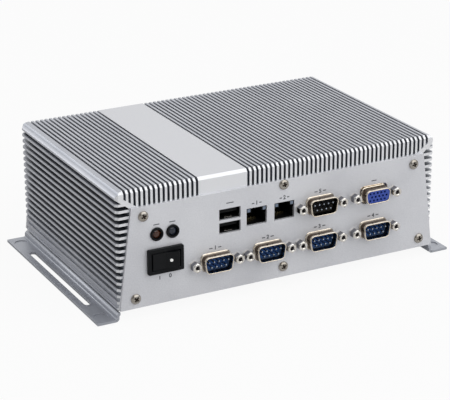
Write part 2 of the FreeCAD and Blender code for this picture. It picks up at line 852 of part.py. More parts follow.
def makeLanShield(centreX):
    front = frontY + lanFrontGap
    half = lanBodyWidth / 2
    outerHalf = half + lanShieldSheet
    outer = box(centreX - outerHalf, centreX + outerHalf, front, front + lanBodyDepth + lanShieldSheet,
                mainBoardTop, mainBoardTop + lanBodyHeight + lanShieldSheet)
    inner = box(centreX - half, centreX + half, front - 1, front + lanBodyDepth, mainBoardTop - 1,
                mainBoardTop + lanBodyHeight)
    return outer.cut(inner)


lanWindows = []
lanContacts = []
for index, x in enumerate(lanColumns):
    housing, windows, contacts = makeLanJack(x)
    save("lan_jack_%d" % (index + 1), housing)
    save("lan_shield_%d" % (index + 1), makeLanShield(x))
    lanWindows += windows
    lanContacts += contacts
save("lan_indicators", group(lanWindows))
save("lan_contacts", group(lanContacts))


# ---- power rocker switch ----
def makeRockerHousing():
    z = chassisBottom + rockerHeight
    bodyBack = frontY + rockerBodyDepth
    bezel = uprightPrism(rectangle(rockerX, z, bezelWidth, bezelHeight), bezelCornerRadius, bezelFrontY, panelFrontY)
    body = uprightPrism(rectangle(rockerX, z, rockerBodyWidth, rockerBodyHeight), 0, panelFrontY, bodyBack)
    wellLength = 2 * (paddleRadius + paddleClearance)
    wellWidth = paddleWidth + 2 * paddleClearance
    well = uprightPrism(rectangle(rockerX, z, wellLength, wellWidth), 0, bezelFrontY - 1, pivotY + paddleWellDepth)
    holeReach = paddleWidth / 2 + pivotPinLength + 0.1
    hole = rod(pivotPinRadius + pivotPinClearance, 2 * holeReach, point(rockerX, pivotY, z - holeReach), upward)
    return joined([bezel, body]).cut([well, hole])


# The paddle's two faces meet in a shallow valley, and its ends are arcs about the pivot.
def makeRockerPaddle():
    z = chassisBottom + rockerHeight
    tilt = math.radians(paddleTilt)
    topAngle = tilt + math.asin(paddleCrown * math.cos(tilt) / paddleRadius)
    skirt = -math.radians(paddleSkirtAngle)

    def onEnd(side, angle):
        along = side * paddleRadius * math.cos(angle)
        return point(rockerX + along, pivotY - paddleRadius * math.sin(angle), z - paddleWidth / 2)

    def below(side):
        return point(rockerX + side * paddleFootWidth / 2, pivotY + paddleFootDepth, z - paddleWidth / 2)

    valley = point(rockerX, pivotY - paddleCrown, z - paddleWidth / 2)
    middle = (topAngle + skirt) / 2
    edges = [Part.LineSegment(valley, onEnd(1, topAngle)).toShape(),
             Part.Arc(onEnd(1, topAngle), onEnd(1, middle), onEnd(1, skirt)).toShape(),
             Part.LineSegment(onEnd(1, skirt), below(1)).toShape(),
             Part.LineSegment(below(1), below(-1)).toShape(),
             Part.LineSegment(below(-1), onEnd(-1, skirt)).toShape(),
             Part.Arc(onEnd(-1, skirt), onEnd(-1, middle), onEnd(-1, topAngle)).toShape(),
             Part.LineSegment(onEnd(-1, topAngle), valley).toShape()]
    blade = Part.Face(Part.Wire(edges)).extrude(upward * paddleWidth)
    pinReach = paddleWidth / 2 + pivotPinLength
    pin = rod(pivotPinRadius, 2 * pinReach, point(rockerX, pivotY, z - pinReach), upward)
    paddle = joined([blade, pin])
    # At rest the left half is pressed in and the right half stands out.
    paddle.rotate(point(rockerX, pivotY, z), upward, -paddleTilt)
    return paddle


def makeRockerTerminals():
    z = chassisBottom + rockerHeight
    back = frontY + rockerBodyDepth
    tabs = []
    for side in (-0.5, 0.5):
        x = rockerX + side * terminalSpacing
        tabs.append(box(x - terminalThickness / 2, x + terminalThickness / 2, back, back + terminalLength,
                        z - terminalWidth / 2, z + terminalWidth / 2))
    return group(tabs)


save("rocker_housing", makeRockerHousing())
save("rocker_paddle", makeRockerPaddle())
save("rocker_terminals", makeRockerTerminals())


# ---- indicator lights ----
def makeHolder(x):
    z = chassisBottom + ledHeight
    rim = facetedRod(rimSides, holderRadius, holderReach, point(x, panelFrontY - holderReach, z), backward)
    barrel = facetedRod(barrelSides, holderBarrelRadius, panelThickness + holderDepth, point(x, panelFrontY, z), backward)
    boreLength = holderReach + panelThickness + holderDepth + 2
    bore = facetedRod(rimSides, ledRadius + ledBoreClearance, boreLength, point(x, panelFrontY - holderReach - 1, z), backward)
    return joined([rim, barrel]).cut(bore)


def makeLed(x):
    z = chassisBottom + ledHeight
    tip = panelFrontY - holderReach + ledRecess
    back = frontY + holderDepth + ledTail
    return facetedRod(rimSides, ledRadius, back - tip, point(x, tip, z), backward)


for name, x in zip(("disk_led", "power_led"), ledColumns):
    save(name + "_holder", makeHolder(x))
    save(name, makeLed(x))


# ---- boards and the columns that carry them ----
def drillBoard(board, places, top):
    return board.cut([screwHole(boardThickness + 2, point(x, y, top - boardThickness - 1), upward) for x, y in places])


def makeMainBoard():
    half = mainBoardWidth / 2
    notchY = boardFrontY + mainBoardNotchDepth
    outline = [(mainBoardNotchX, boardFrontY), (half, boardFrontY), (half, boardRearY), (-half, boardRearY),
               (-half, notchY), (mainBoardNotchX, notchY)]
    board = extruded([point(x, y, mainBoardBottom) for x, y in outline], 0, upward * boardThickness)
    return drillBoard(board, rearStandoffPlaces + columnPlaces, mainBoardTop)


def makeIoBoard():
    board = box(ioBoardLeft, ioBoardRight, boardFrontY, boardFrontY + ioBoardDepth, ioBoardTop - boardThickness, ioBoardTop)
    return drillBoard(board, columnPlaces, ioBoardTop)


# A hexagonal pillar with a tapped hole in its top.
def makePillar(x, y, low, high):
    pillar = hexagon(standoffAcrossFlats, high - low, point(x, y, low), upward)
    return pillar.cut(screwHole(tapDepth + 1, point(x, y, high - tapDepth), upward))


# A pillar on the lower board, whose stud runs through that board into the pillar below.
def makeUpperPillar(x, y):
    studLow = ioBoardTop - boardThickness - studLength
    stud = facetedRod(shankSides, screwRadius, boardThickness + studLength, point(x, y, studLow), upward)
    return joined([makePillar(x, y, ioBoardTop, mainBoardBottom), stud])


def boardScrew(x, y):
    head = hexagon(standoffAcrossFlats, boardScrewHeadHeight, point(x, y, mainBoardTop), upward)
    shankLength = boardThickness + studLength
    shank = facetedRod(shankSides, screwRadius, shankLength, point(x, y, mainBoardTop), upward * -1)
    return joined([head, shank])


save("main_board", makeMainBoard())
save("io_board", makeIoBoard())
save("io_board_standoffs", group([makePillar(x, y, chassisBottom, ioBoardTop - boardThickness) for x, y in columnPlaces]))
rearPillars = [makePillar(x, y, chassisBottom, mainBoardBottom) for x, y in rearStandoffPlaces]
save("main_board_standoffs", group([makeUpperPillar(x, y) for x, y in columnPlaces] + rearPillars))
save("board_screws", group([boardScrew(x, y) for x, y in rearStandoffPlaces + columnPlaces]))
linkLowY = frontY + linkY
save("board_link", box(-linkWidth / 2, linkWidth / 2, linkLowY, linkLowY + linkThickness, ioBoardTop, mainBoardBottom))


# ---- processor, its heat block against the roof, memory, card and battery ----
def centredBox(x, y, width, depth, zLow, zHigh):
    return box(x - width / 2, x + width / 2, y - depth / 2, y + depth / 2, zLow, zHigh)


processorTop = mainBoardTop + processorHeight
coolingY = frontY + processorY
save("processor", centredBox(processorX, coolingY, processorSize, processorSize, mainBoardTop, processorTop))
lowerPad = centredBox(processorX, coolingY, processorSize, processorSize, processorTop, processorTop + padThickness)
upperPad = centredBox(processorX, coolingY, heatBlockWidth, heatBlockDepth, roofUnderside - padThickness, roofUnderside)
save("thermal_pads", group([lowerPad, upperPad]))


def makeHeatBlock():
    low = processorTop + padThickness
    block = centredBox(processorX, coolingY, heatBlockWidth, heatBlockDepth, low, roofUnderside - padThickness)
    xOffset = heatBlockWidth / 2 - heatBlockLegRadius
    yOffset = heatBlockDepth / 2 - heatBlockLegRadius
    legs = []
    for xSide in (-1, 1):
        for ySide in (-1, 1):
            foot = point(processorX + xSide * xOffset, coolingY + ySide * yOffset, mainBoardTop)
            legs.append(hexagon(2 * heatBlockLegRadius, low - mainBoardTop, foot, upward))
    return joined([block] + legs)


save("heat_block", makeHeatBlock())


# A flat module lying over the board and the socket whose bar grips its front edge between two arms.
def makeModule(x, frontOffset, width, length, arm):
    half = width / 2 + seatClearance
    yLow = frontY + frontOffset
    moduleFront = yLow + edgeSocketDepth - moduleGrip
    moduleLow = mainBoardTop + moduleRise
    moduleTop = moduleLow + moduleThickness
    bar = box(x - half - arm, x + half + arm, yLow, yLow + edgeSocketDepth, mainBoardTop, mainBoardTop + edgeSocketHeight)
    arms = []
    for side in (-1, 1):
        ends = sorted((x + side * half, x + side * (half + arm)))
        arms.append(box(ends[0], ends[1], yLow, moduleFront + length, mainBoardTop, moduleTop))
    slot = box(x - half, x + half, moduleFront, yLow + edgeSocketDepth + 1, moduleLow, moduleTop + seatClearance)
    module = box(x - width / 2, x + width / 2, moduleFront, moduleFront + length, moduleLow, moduleTop)
    return joined([bar] + arms).cut(slot), module


memorySocket, memoryModule = makeModule(memoryX, memoryY, memoryWidth, memoryLength, memoryArmWidth)
save("memory_socket", memorySocket)
save("memory_module", memoryModule)
storageSocket, storageModule = makeModule(storageX, storageY, storageWidth, storageLength, storageArmWidth)
save("storage_socket", storageSocket)
save("storage_module", storageModule)


inductors = []
for index in range(inductorCount):
    inductors.append(centredBox(inductorX + index * inductorPitch, frontY + inductorY, inductorSize, inductorSize,
                                mainBoardTop, mainBoardTop + inductorHeight))
save("power_inductors", group(inductors))


# ---- headers and the flat leads of the switch and the lights ----
# A flat lead of even thickness that follows square turns in the YZ plane, given its middle line.
def makeLead(width, route):
    near = []
    far = []
    across = point(1, 0, 0)
    normals = [across.cross((end - start).normalize()) for start, end in zip(route, route[1:])]
    for index, corner in enumerate(route):
        before = normals[max(index - 1, 0)]
        after = normals[min(index, len(normals) - 1)]
        isEnd = index in (0, len(route) - 1)
        shift = (before if isEnd else before + after) * (leadThickness / 2)
        start = corner - across * (width / 2)
        near.append(start + shift)
        far.append(start - shift)
    return extruded(near + far[::-1], 0, across * width)


def header(x, offset):
    return centredBox(x, frontY + offset, headerWidth, headerDepth, mainBoardTop, mainBoardTop + headerHeight)


headers = [header(rockerX, switchHeaderY)]
lightLeads = []
for x in ledColumns:
    headers.append(header(x, lightHeaderY))
    ledZ = chassisBottom + ledHeight
    route = [point(x, frontY + holderDepth + ledTail, ledZ), point(x, frontY + lightHeaderY, ledZ),
             point(x, frontY + lightHeaderY, mainBoardTop + headerHeight)]
    lightLeads.append(makeLead(lightLeadWidth, route))
save("pin_headers", group(headers))
save("led_leads", group(lightLeads))
terminalEndY = frontY + rockerBodyDepth + terminalLength
switchRiseY = terminalEndY + switchLeadRun
switchZ = chassisBottom + rockerHeight
headerMiddleZ = mainBoardTop + headerHeight / 2
switchRoute = [point(rockerX, terminalEndY, switchZ), point(rockerX, switchRiseY, switchZ),
               point(rockerX, switchRiseY, headerMiddleZ),
               point(rockerX, frontY + switchHeaderY - headerDepth / 2, headerMiddleZ)]
save("switch_leads", makeLead(terminalSpacing + terminalThickness, switchRoute))


# ---- power inlet at the back edge of the main board ----
def makeInlet():
    axisZ = mainBoardTop + inletAxisRise
    back = rearY
    body = box(inletX - inletWidth / 2, inletX + inletWidth / 2, back - inletDepth, back, mainBoardTop,
               mainBoardTop + inletHeight)
    noseLength = panelThickness + inletNoseReach
    nose = rod(inletNoseRadius, noseLength, point(inletX, back, axisZ), backward)
    bore = rod(inletBoreRadius, inletBoreDepth + 1, point(inletX, back + noseLength + 1, axisZ), frontward)
    pinStart = point(inletX, back + noseLength - inletBoreDepth, axisZ)
    pin = facetedRod(shankSides, inletPinRadius, inletBoreDepth, pinStart, backward)
    return joined([joined([body, nose]).cut(bore), pin])


save("power_inlet", makeInlet())
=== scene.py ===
import bpy, bmesh, json, math
import numpy as np
from mathutils import Matrix, Vector


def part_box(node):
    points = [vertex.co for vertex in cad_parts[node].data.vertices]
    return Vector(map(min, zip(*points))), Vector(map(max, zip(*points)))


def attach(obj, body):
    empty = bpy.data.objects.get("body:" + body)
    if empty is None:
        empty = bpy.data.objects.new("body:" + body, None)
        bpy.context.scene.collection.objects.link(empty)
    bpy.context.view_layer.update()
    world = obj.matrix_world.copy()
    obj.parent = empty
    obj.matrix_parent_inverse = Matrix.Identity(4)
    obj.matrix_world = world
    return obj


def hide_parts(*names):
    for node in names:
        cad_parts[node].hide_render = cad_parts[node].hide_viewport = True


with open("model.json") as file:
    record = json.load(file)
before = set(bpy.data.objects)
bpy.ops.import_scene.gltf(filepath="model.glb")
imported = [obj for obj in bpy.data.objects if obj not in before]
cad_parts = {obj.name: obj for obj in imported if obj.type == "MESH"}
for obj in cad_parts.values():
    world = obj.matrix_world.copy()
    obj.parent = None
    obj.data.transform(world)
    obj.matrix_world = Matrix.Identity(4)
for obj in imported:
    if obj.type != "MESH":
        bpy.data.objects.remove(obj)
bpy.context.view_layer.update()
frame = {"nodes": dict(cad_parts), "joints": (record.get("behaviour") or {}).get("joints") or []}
nodes = frame["nodes"]
mm = 0.001
gridMergeReach = 2e-7  # metres
cadMergeReach = 1e-6
print("frame loaded:", len(nodes), "nodes")


def hexColour(text):  # sRGB hex to linear rgba
    values = [int(text[i:i + 2], 16) / 255 for i in (1, 3, 5)]
    return [v / 12.92 if v < 0.04045 else ((v + 0.055) / 1.055) ** 2.4 for v in values] + [1.0]


def addNode(tree, kind, inputs=None):  # each key is a setting or an input, each value plain or a socket to link
    node = tree.nodes.new(kind)
    for key, value in (inputs or {}).items():
        if isinstance(value, bpy.types.NodeSocket):
            tree.links.new(value, node.inputs[key])
        elif isinstance(key, str) and hasattr(node, key):
            setattr(node, key, value)
        else:
            node.inputs[key].default_value = value
    return node


def maths(tree, operation, *values):
    return addNode(tree, "ShaderNodeMath", {"operation": operation, **dict(enumerate(values))}).outputs[0]


def remap(tree, value, fromLow, fromHigh, toLow=0.0, toHigh=1.0):
    return addNode(tree, "ShaderNodeMapRange", {"From Min": fromLow, "From Max": fromHigh, "To Min": toLow,
                                                "To Max": toHigh, "Value": value}).outputs[0]


def mixColour(tree, share, first, second, blend="MIX"):
    return addNode(tree, "ShaderNodeMix", {"data_type": "RGBA", "blend_type": blend, 0: share, 6: first,
                                           7: second}).outputs[2]


def mixNumber(tree, share, first, second):
    return addNode(tree, "ShaderNodeMix", {"data_type": "FLOAT", 0: share, 2: first, 3: second}).outputs[0]


def noise(tree, spot, size, detail=2.0):  # the pattern's size is in millimetres
    return addNode(tree, "ShaderNodeTexNoise", {"Scale": 1 / (size * mm), "Detail": detail,
                                                "Vector": spot}).outputs[0]


def startMaterial(name):
    material = bpy.data.materials.new(name)
    material.use_nodes = True
    tree = material.node_tree
    spot = addNode(tree, "ShaderNodeTexCoord").outputs["Object"]
    return material, tree, tree.nodes["Principled BSDF"], spot


def dressShader(tree, shader, tint, rough, height, strength, depth):  # the bump's depth is in millimetres
    bump = addNode(tree, "ShaderNodeBump", {"Strength": strength, "Distance": depth * mm, "Height": height})
    tree.links.new(tint, shader.inputs["Base Color"])
    tree.links.new(rough, shader.inputs["Roughness"])
    tree.links.new(bump.outputs[0], shader.inputs["Normal"])


def nodeBox(name):  # lowest corner, highest corner and middle of a CAD node
    low, high = (np.array(corner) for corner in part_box(name))
    return low, high, (low + high) / 2


def islandBoxes(name):  # lowest and highest corner of each loose solid of a CAD node
    mesh = nodes[name].data
    places = np.empty(len(mesh.vertices) * 3)
    mesh.vertices.foreach_get("co", places)
    ends = np.empty(len(mesh.edges) * 2, dtype=np.int32)
    mesh.edges.foreach_get("vertices", ends)
    unique, same = np.unique(np.round(places.reshape(-1, 3), 7), axis=0, return_inverse=True)
    ends = same.reshape(-1)[ends.reshape(-1, 2)]
    labels = np.arange(len(unique))
    while True:
        lowest = np.minimum(labels[ends[:, 0]], labels[ends[:, 1]])
        updated = labels.copy()
        np.minimum.at(updated, ends[:, 0], lowest)
        np.minimum.at(updated, ends[:, 1], lowest)
        if (updated == labels).all():
            break
        labels = updated
    return [(unique[labels == k].min(axis=0), unique[labels == k].max(axis=0)) for k in np.unique(labels)]


def placeMesh(name, mesh):
    piece = bpy.data.objects.new(name, mesh)
    bpy.context.scene.collection.objects.link(piece)
    return piece


# Each grid is rows x columns x 3, closed round its columns. Rows of zero radius become poles.
def gridPiece(name, grids, material, body="case", replaced=(), smooth=40, recess=None):
    points, faces, start = [], [], 0
    for grid in grids:
        rows, cols = grid.shape[:2]
        index = start + np.arange(rows * cols).reshape(rows, cols)
        across = np.roll(index, -1, axis=1)
        faces.append(np.stack([index[:-1], across[:-1], across[1:], index[1:]], axis=-1).reshape(-1, 4))
        points.append(grid.reshape(-1, 3))
        start += rows * cols
    mesh = bpy.data.meshes.new(name)
    mesh.from_pydata(np.concatenate(points).tolist(), [], np.concatenate(faces).tolist())
    if recess is not None:  # how deep each point lies in a recess, 0 to 1, for its material
        depths = np.concatenate(recess).astype(np.float32)
        mesh.attributes.new("recess", "FLOAT", "POINT").data.foreach_set("value", depths)
    work = bmesh.new()
    work.from_mesh(mesh)
    bmesh.ops.remove_doubles(work, verts=work.verts, dist=gridMergeReach)
    bmesh.ops.recalc_face_normals(work, faces=work.faces)
    work.to_mesh(mesh)
    work.free()
    mesh.shade_smooth()
    mesh.set_sharp_from_angle(angle=math.radians(smooth))
    mesh.materials.append(material)
    piece = placeMesh(name, mesh)
    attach(piece, body)
    if replaced:
        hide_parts(*replaced)
    return piece


# Profile points (radius, depth) spun round an axis: x = r cos a, z = r sin a, y = depth.
def spin(profile, count):
    profile = np.asarray(profile, dtype=float)
    angle = np.arange(count) * 2 * np.pi / count
    radius, depth = profile[:, :1], profile[:, 1:2]
    return np.stack([radius * np.cos(angle), depth + 0 * angle, radius * np.sin(angle)], axis=-1)


def roundStep(fromPoint, corner, toPoint, count=5):  # quadratic curve that rounds a profile's corner
    t = np.linspace(0, 1, count)[:, None]
    a, b, c = (np.array(p, dtype=float) for p in (fromPoint, corner, toPoint))
    return ((1 - t) ** 2 * a + 2 * t * (1 - t) * b + t ** 2 * c).tolist()


# The band along the roof is skimmed smooth after the fins are drawn. Painted shade in the grooves darkens between two
# depths.
extrusion = {"bandMiddle": -35.1, "bandWidth": 28.35, "paintedShadeStart": 0.15, "paintedShadeEnd": 2.2}


# Anodised aluminium: satin. An extrusion has fine die lines along its length, and its sawn and tumbled ends, which
# face front and back, get a painted highlight: a brighter colour than its drawn sides, chosen by facing.
def anodisedMaterial(name, colour, shade, roughness, metallic, drawn, grain=0.35, fleck=0.35, bandColour=None,
                     paintedEndHighlight=None, paintedGrooveShade=None, paintedSideGrooveShade=None):
    material, tree, shader, spot = startMaterial(name)
    stretch = (1, 0.02, 1) if drawn else (1, 1, 1)
    stretched = addNode(tree, "ShaderNodeMapping", {"Scale": stretch, "Vector": spot}).outputs[0]
    lines = noise(tree, stretched, 0.6, 3.0)
    dyeDrift = noise(tree, spot, 35)
    blasted = noise(tree, spot, grain)
    middle, reach = (1 + fleck) / 2, 0.33
    ramp = remap(tree, maths(tree, "MULTIPLY_ADD", lines, fleck, dyeDrift), middle - reach, middle + reach)
    tint = mixColour(tree, ramp, hexColour(shade), hexColour(colour))
    rough = remap(tree, blasted, 0.0, 1.0, roughness - 0.05, roughness + 0.07)
    if paintedGrooveShade:  # painted shade down in the grooves, darker by depth below the fin tips and darker still on the sides
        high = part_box("chassis")[1]
        place = addNode(tree, "ShaderNodeSeparateXYZ", {0: spot})
        across = maths(tree, "ABSOLUTE", maths(tree, "SUBTRACT", place.outputs[0], extrusion["bandMiddle"] * mm))
        onBand = maths(tree, "LESS_THAN", across, extrusion["bandWidth"] / 2 * mm)
        tint = mixColour(tree, onBand, tint, hexColour(bandColour))
        under = maths(tree, "SUBTRACT", high[2], place.outputs[2])
        inside = maths(tree, "SUBTRACT", high[0], maths(tree, "ABSOLUTE", place.outputs[0]))
        grooveShadeShare = remap(tree, maths(tree, "MINIMUM", under, inside), extrusion["paintedShadeStart"] * mm,
                     extrusion["paintedShadeEnd"] * mm)
        fromSide = maths(tree, "LESS_THAN", inside, under)
        paintedShade = mixColour(tree, fromSide, hexColour(paintedGrooveShade), hexColour(paintedSideGrooveShade))
        tint = mixColour(tree, grooveShadeShare, tint, paintedShade)
    if paintedEndHighlight:
        # painted highlight: faces that point front and back take a brighter colour
        normal = addNode(tree, "ShaderNodeNewGeometry").outputs["Normal"]
        facing = addNode(tree, "ShaderNodeSeparateXYZ", {0: normal})
        paintedHighlightShare = remap(tree, maths(tree, "ABSOLUTE", facing.outputs[1]), 0.45, 0.75)
        tint = mixColour(tree, paintedHighlightShare, tint, hexColour(paintedEndHighlight))
    dressShader(tree, shader, tint, rough, blasted, 0.10, 0.05)
    shader.inputs["Metallic"].default_value = metallic
    return material


# A painted dark band, painted shade and dark reflection, on the drawn wall of a shell between its burnished lip and
# root: shares of its reach from the middle.
paintedBandShare = {"dull": 0.24, "bright": 0.36}


# Bright nickel plate over pressed steel: warm, mirror-like, with faint draw marks that break the reflection.
def plateMaterial(name, colour, roughness, wave, paintedBandColour=None, paintedBandNode=None, recessColour=None):
    material, tree, shader, spot = startMaterial(name)
    ripple = noise(tree, spot, wave, 3.0)
    stain = noise(tree, spot, 3)
    tint = mixColour(tree, stain, hexColour(colour), hexColour("#d8cfc0"), "MULTIPLY")
    rough = remap(tree, stain, 0.0, 1.0, roughness * 0.6, roughness * 1.5)
    # painted shade and dark reflection: the wall between the lip and the root is darkened
    if paintedBandColour:
        lip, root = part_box(paintedBandNode)[0][1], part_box("front_panel")[0][1]
        place = addNode(tree, "ShaderNodeSeparateXYZ", {0: spot})
        away = maths(tree, "ABSOLUTE", maths(tree, "SUBTRACT", place.outputs[1], (lip + root) / 2))
        wall = remap(tree, away, paintedBandShare["dull"] * (root - lip), paintedBandShare["bright"] * (root - lip), 1.0, 0.0)
        tint = mixColour(tree, wall, tint, hexColour(paintedBandColour))
    if recessColour:  # dirt and shadow sit in the driver recess
        sunk = addNode(tree, "ShaderNodeAttribute", {"attribute_name": "recess"}).outputs["Fac"]
        tint = mixColour(tree, sunk, tint, hexColour(recessColour))
    dressShader(tree, shader, tint, rough, ripple, 0.18, 0.06)
    shader.inputs["Metallic"].default_value = 1.0
    return material


# Moulded thermoplastic: a dull skin with the mould's spark-eroded grain and small tone drift.
def mouldedMaterial(name, colour, shade, roughness, grain, bumpStrength=0.15, gloss=0.5):
    material, tree, shader, spot = startMaterial(name)
    shader.inputs["Specular IOR Level"].default_value = gloss
    skin = noise(tree, spot, grain, 4.0)
    tint = mixColour(tree, noise(tree, spot, 5), hexColour(shade), hexColour(colour))
    rough = remap(tree, skin, 0.0, 1.0, roughness - 0.08, roughness + 0.10)
    dressShader(tree, shader, tint, rough, skin, bumpStrength, 0.04)
    return material


# Epoxy lens: tinted and clear enough to show depth, glossy from its mould.
def lensMaterial(name, colour, shade, clearness):
    material, tree, shader, spot = startMaterial(name)
    tint = mixColour(tree, noise(tree, spot, 1.2), hexColour(shade), hexColour(colour))
    tree.links.new(tint, shader.inputs["Base Color"])
    shader.inputs["Roughness"].default_value = 0.12
    shader.inputs["Transmission Weight"].default_value = clearness
    shader.inputs["IOR"].default_value = 1.53
    return material


extrusionMetal = anodisedMaterial("anodisedExtrusion", "#c3c5cb", "#b2b4bb", 0.42, 0.70, True, bandColour="#cfd0d4",
                                  paintedEndHighlight="#e4e5e8", paintedGrooveShade="#888e98", paintedSideGrooveShade="#5a6069")
panelMetal = anodisedMaterial("anodisedPanel", "#d8d9dd", "#c3c4c9", 0.50, 0.55, False, grain=0.30, fleck=0.90)
sheetMetal = anodisedMaterial("anodisedSheet", "#a9aaae", "#9d9ea3", 0.50, 0.60, False, grain=0.30)
bracketMetal = anodisedMaterial("anodisedStrip", "#b0b3ba", "#9da0a8", 0.42, 0.70, False, grain=0.30, fleck=0.90)
nickelShell = plateMaterial("nickelPlatedShell", "#fbf3e6", 0.10, 1.2, "#5e5145", "serial_shell_1")
nickelHex = plateMaterial("nickelPlatedHexagon", "#f2f2f2", 0.12, 0.9, "#77777b", "port_jackscrews")
nickelPlate = plateMaterial("nickelPlate", "#e6e4e2", 0.12, 0.9)
screwPlate = plateMaterial("nickelPlatedScrew", "#b4b1ad", 0.22, 0.5, recessColour="#37312c")
tinPlate = plateMaterial("tinPlate", "#d9d9d9", 0.35, 0.5)
pinPlate = plateMaterial("tinNickelPin", "#aab6c8", 0.28, 0.3)
goldFlash = plateMaterial("goldFlashedContact", "#e9d6a2", 0.22, 0.3)
brassPillar = plateMaterial("platedBrassPillar", "#d9c07a", 0.30, 0.4)
milledBlock = anodisedMaterial("milledAluminium", "#b9bbbe", "#a9abaf", 0.38, 0.9, True)
housingNylon = mouldedMaterial("blackNylon", "#0f1114", "#0a0b0d", 0.50, 0.20, 0.15, 0.14)
rockerPlastic = mouldedMaterial("rockerPolycarbonate", "#0d0f12", "#08090b", 0.35, 0.30, 0.08, 0.16)
jackNylon = mouldedMaterial("blackJackNylon", "#0b0c0e", "#070708", 0.55, 0.20, 0.15, 0.15)
serialBlue = mouldedMaterial("blueInsulatorPolyester", "#2a568f", "#1c3f78", 0.45, 0.20, 0.15, 0.3)
serialBlack = mouldedMaterial("blackInsulatorPolyester", "#141414", "#0c0c0c", 0.45, 0.20, 0.15, 0.2)
videoBlue = mouldedMaterial("videoBluePolyester", "#2b4699", "#223a8c", 0.42, 0.20)
lightWindow = mouldedMaterial("lightWindowAcrylic", "#6f7b8c", "#5a6575", 0.25, 0.40, 0.05)
solderMask = mouldedMaterial("greenSolderMask", "#1c5b34", "#144a29", 0.35, 0.60, 0.10)
chipResin = mouldedMaterial("chipResin", "#242424", "#1a1a1a", 0.55, 0.25)
padSilicone = mouldedMaterial("thermalPadSilicone", "#8d99a6", "#7f8b98", 0.75, 0.40)
leadJacket = mouldedMaterial("leadJacket", "#1d1d1f", "#131315", 0.55, 0.30)
panelInk = mouldedMaterial("screenInk", "#4a4e55", "#3c4046", 0.60, 0.20, 0.05)
whiteInk = mouldedMaterial("whiteDotInk", "#f4f4f2", "#e4e4e0", 0.45, 0.20, 0.05)
amberLens = lensMaterial("amberEpoxyLens", "#5c3018", "#24130b", 0.25)
clearLens = lensMaterial("clearEpoxyLens", "#2a3142", "#141922", 0.25)
print("materials made")

finishes = {
    "chassis": extrusionMetal, "front_panel": panelMetal, "rear_panel": panelMetal, "bottom_plate": sheetMetal,
    "left_bracket": bracketMetal, "right_bracket": bracketMetal, "bracket_screws": screwPlate,
    "rocker_housing": housingNylon, "rocker_paddle": rockerPlastic, "rocker_terminals": tinPlate,
    "disk_led_holder": housingNylon, "power_led_holder": housingNylon, "disk_led": amberLens, "power_led": clearLens,
    "usb_shell": jackNylon, "usb_tongues": jackNylon, "lan_jack_1": jackNylon, "lan_jack_2": jackNylon,
    "lan_shield_1": nickelPlate, "lan_shield_2": nickelPlate, "lan_contacts": goldFlash, "lan_indicators": lightWindow,
    "serial_pins": pinPlate, "video_shell": nickelShell, "video_insulator": videoBlue, "port_jackscrews": nickelHex,
    "main_board": solderMask, "io_board": solderMask, "main_board_standoffs": brassPillar,
    "io_board_standoffs": brassPillar, "board_screws": screwPlate, "board_link": jackNylon, "processor": chipResin,
    "heat_block": milledBlock, "thermal_pads": padSilicone, "memory_socket": jackNylon, "memory_module": solderMask,
    "storage_socket": jackNylon, "storage_module": solderMask, "power_inductors": chipResin, "pin_headers": jackNylon,
    "switch_leads": leadJacket, "led_leads": leadJacket, "power_inlet": housingNylon,
    "front_panel_screws": screwPlate, "rear_panel_screws": screwPlate,
}
for number in range(1, 6):
    finishes["serial_shell_%d" % number] = nickelShell
    finishes["serial_insulator_%d" % number] = serialBlack if number == 5 else serialBlue


def softenEdges(node, width, segments, angle=35):  # merge the loose triangles, then round the edges a little
    weld = node.modifiers.new("weld", "WELD")
    weld.merge_threshold = cadMergeReach
    bevel = node.modifiers.new("bevel", "BEVEL")
    bevel.width = width * mm
    bevel.segments = segments
    bevel.limit_method = "ANGLE"
    bevel.angle_limit = math.radians(angle)
    bevel.harden_normals = True


# Width of each node's rounded edges in millimetres, and its segments.
edgeRounds = {"chassis": (0.12, 2), "front_panel": (0.10, 2), "rear_panel": (0.10, 2), "bottom_plate": (0.15, 2),
              "left_bracket": (0.15, 2), "right_bracket": (0.15, 2), "rocker_housing": (0.35, 3),
              "rocker_paddle": (0.30, 3), "power_inlet": (0.20, 2), "usb_tongues": (0.15, 2),
              "lan_jack_1": (0.10, 2), "lan_jack_2": (0.10, 2), "video_insulator": (0.10, 1)}
for nodeName, node in nodes.items():
    node.data.materials.clear()
    node.data.materials.append(finishes[nodeName])
    if nodeName in edgeRounds:
        softenEdges(node, *edgeRounds[nodeName])
print("CAD nodes dressed")

# Pan head screws with a cross recess. Sizes in every piece's dictionary are in millimetres.
panScrew = {"headHeight": 1.6, "headRadius": 2.75, "rim": 0.35, "crossHalfWidth": 0.42, "crossReach": 1.45,
            "crossDepth": 0.85, "fineRadius": 1.7, "shank": 1.5, "pointRadius": 1.1, "pointLength": 0.4,
            "sideSteepness": 22, "endSteepness": 14}


